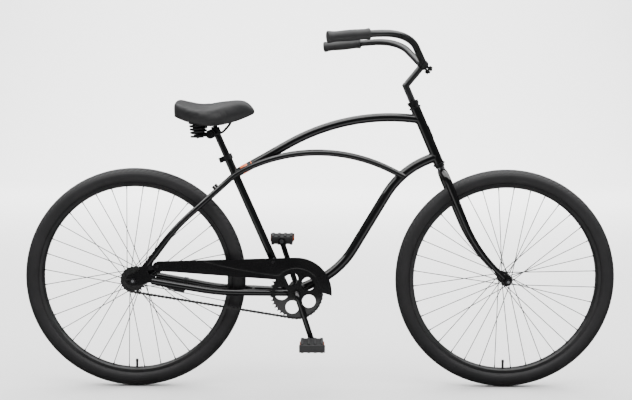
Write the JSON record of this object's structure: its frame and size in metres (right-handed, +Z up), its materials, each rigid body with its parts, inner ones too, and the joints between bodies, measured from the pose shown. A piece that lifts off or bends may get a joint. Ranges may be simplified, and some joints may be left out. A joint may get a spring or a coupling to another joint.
{
  "type": "beach cruiser bicycle",
  "caption": "Beach cruiser bicycle with an arched cantilever frame, wide tyres, swept-back handlebar, sprung saddle, chain guard and coaster brake hub.",
  "frame": {"origin": "on the ground below the middle of the wheelbase, in the bicycle's middle plane", "axes": "+X forward, +Y to the rider's left, +Z up"},
  "size_m": [1.966, 0.6818, 1.1777],
  "materials": {
    "gloss_black_paint": "gloss",
    "satin_black_paint": "satin",
    "black_hardware": "satin",
    "black_spoke": "satin",
    "steel": "brushed",
    "chain_steel": "oiled",
    "badge_metal": "satin",
    "tyre_rubber": "matte",
    "tube_rubber": "matte",
    "grip_rubber": "matte",
    "pedal_plastic": "matte",
    "amber_lens": "gloss",
    "saddle_vinyl": "grained"
  },
  "bodies": {
    "frame": {"head_tube": "gloss_black_paint", "top_tube": "gloss_black_paint", "down_tube": "gloss_black_paint", "seat_tube": "gloss_black_paint", "cantilever_tube_right": "gloss_black_paint", "cantilever_tube_left": "gloss_black_paint", "chain_stay_right": "gloss_black_paint", "chain_stay_left": "gloss_black_paint", "bottom_bracket_shell": "gloss_black_paint", "dropouts": "gloss_black_paint", "stay_fittings": "gloss_black_paint", "headset_cups": "black_hardware", "bottom_bracket_cups": "black_hardware", "seat_clamp": "black_hardware", "rear_axle": "steel", "rear_axle_nuts": "black_hardware", "coaster_brake_arm": "black_hardware", "chain_guard": "gloss_black_paint", "chain_guard_fixings": "black_hardware", "head_badge": "badge_metal", "chain": "chain_steel"},
    "fork": {"fork_steerer": "steel", "fork_blades": "gloss_black_paint", "fork_ends": "gloss_black_paint", "headset_races": "black_hardware", "front_axle": "steel", "front_axle_nuts": "black_hardware"},
    "stem": {"stem": "gloss_black_paint", "stem_bolts": "black_hardware", "stem_wedge": "steel"},
    "handlebar": {"handlebar": "gloss_black_paint", "grip_right": "grip_rubber", "grip_left": "grip_rubber"},
    "front_wheel": {"front_tyre": "tyre_rubber", "front_inner_tube": "tube_rubber", "front_rim": "satin_black_paint", "front_spokes": "black_spoke", "front_hub": "satin_black_paint"},
    "rear_wheel": {"rear_tyre": "tyre_rubber", "rear_inner_tube": "tube_rubber", "rear_rim": "satin_black_paint", "rear_spokes": "black_spoke", "rear_hub": "satin_black_paint"},
    "rear_sprocket": {"rear_sprocket": "chain_steel"},
    "crank": {"crank": "gloss_black_paint", "chainring": "gloss_black_paint", "bottom_bracket_cones": "steel", "pedal_spindles": "steel"},
    "pedal_right": {"pedal_right": "pedal_plastic", "pedal_reflectors_right": "amber_lens"},
    "pedal_left": {"pedal_left": "pedal_plastic", "pedal_reflectors_left": "amber_lens"},
    "seat_post": {"seat_post": "gloss_black_paint", "saddle_clamp": "black_hardware"},
    "saddle": {"saddle_cover": "saddle_vinyl", "saddle_base": "pedal_plastic", "saddle_rails": "black_hardware", "saddle_springs": "black_hardware"}
  },
  "joints": [
    {"name": "steering", "type": "hinge", "parent": "frame", "child": "fork", "pos_m": [0.39161, 0, 0.74811], "axis": [-0.4051, 0, 0.9143], "range_deg": [-80, 80]},
    {"name": "stem_height", "type": "slide", "parent": "fork", "child": "stem", "axis": [-0.4051, 0, 0.9143], "range_m": [-0.02, 0.03]},
    {"name": "handlebar_tilt", "type": "hinge", "parent": "stem", "child": "handlebar", "pos_m": [0.33197, 0, 1.07547], "axis": [0, 1, 0], "range_deg": [-25, 25]},
    {"name": "front_wheel_spin", "type": "hinge", "parent": "fork", "child": "front_wheel", "pos_m": [0.6165, 0, 0.3665], "axis": [0, 1, 0], "continuous": true},
    {"name": "rear_wheel_spin", "type": "hinge", "parent": "frame", "child": "rear_wheel", "pos_m": [-0.6165, 0, 0.3665], "axis": [0, 1, 0], "continuous": true},
    {"name": "crank_spin", "type": "hinge", "parent": "frame", "child": "crank", "pos_m": [-0.08014, 0, 0.3245], "axis": [0, 1, 0], "continuous": true, "deforming": ["chain"]},
    {"name": "rear_sprocket_spin", "type": "hinge", "parent": "frame", "child": "rear_sprocket", "pos_m": [-0.6165, 0, 0.3665], "axis": [0, 1, 0], "continuous": true},
    {"name": "pedal_right_spin", "type": "hinge", "parent": "crank", "child": "pedal_right", "pos_m": [-0.02833, 0, 0.16784], "axis": [0, 1, 0], "continuous": true},
    {"name": "pedal_left_spin", "type": "hinge", "parent": "crank", "child": "pedal_left", "pos_m": [-0.13195, 0, 0.48115], "axis": [0, 1, 0], "continuous": true},
    {"name": "seat_height", "type": "slide", "parent": "frame", "child": "seat_post", "axis": [-0.4051, 0, 0.9143], "range_m": [-0.05, 0.07]},
    {"name": "saddle_tilt", "type": "hinge", "parent": "seat_post", "child": "saddle", "pos_m": [-0.36433, 0, 0.84609], "axis": [0, 1, 0], "range_deg": [-18, 18]}
  ],
  "couplings": [
    {"joint": "rear_sprocket_spin", "follows": "crank_spin", "ratio": 2.1}
  ]
}
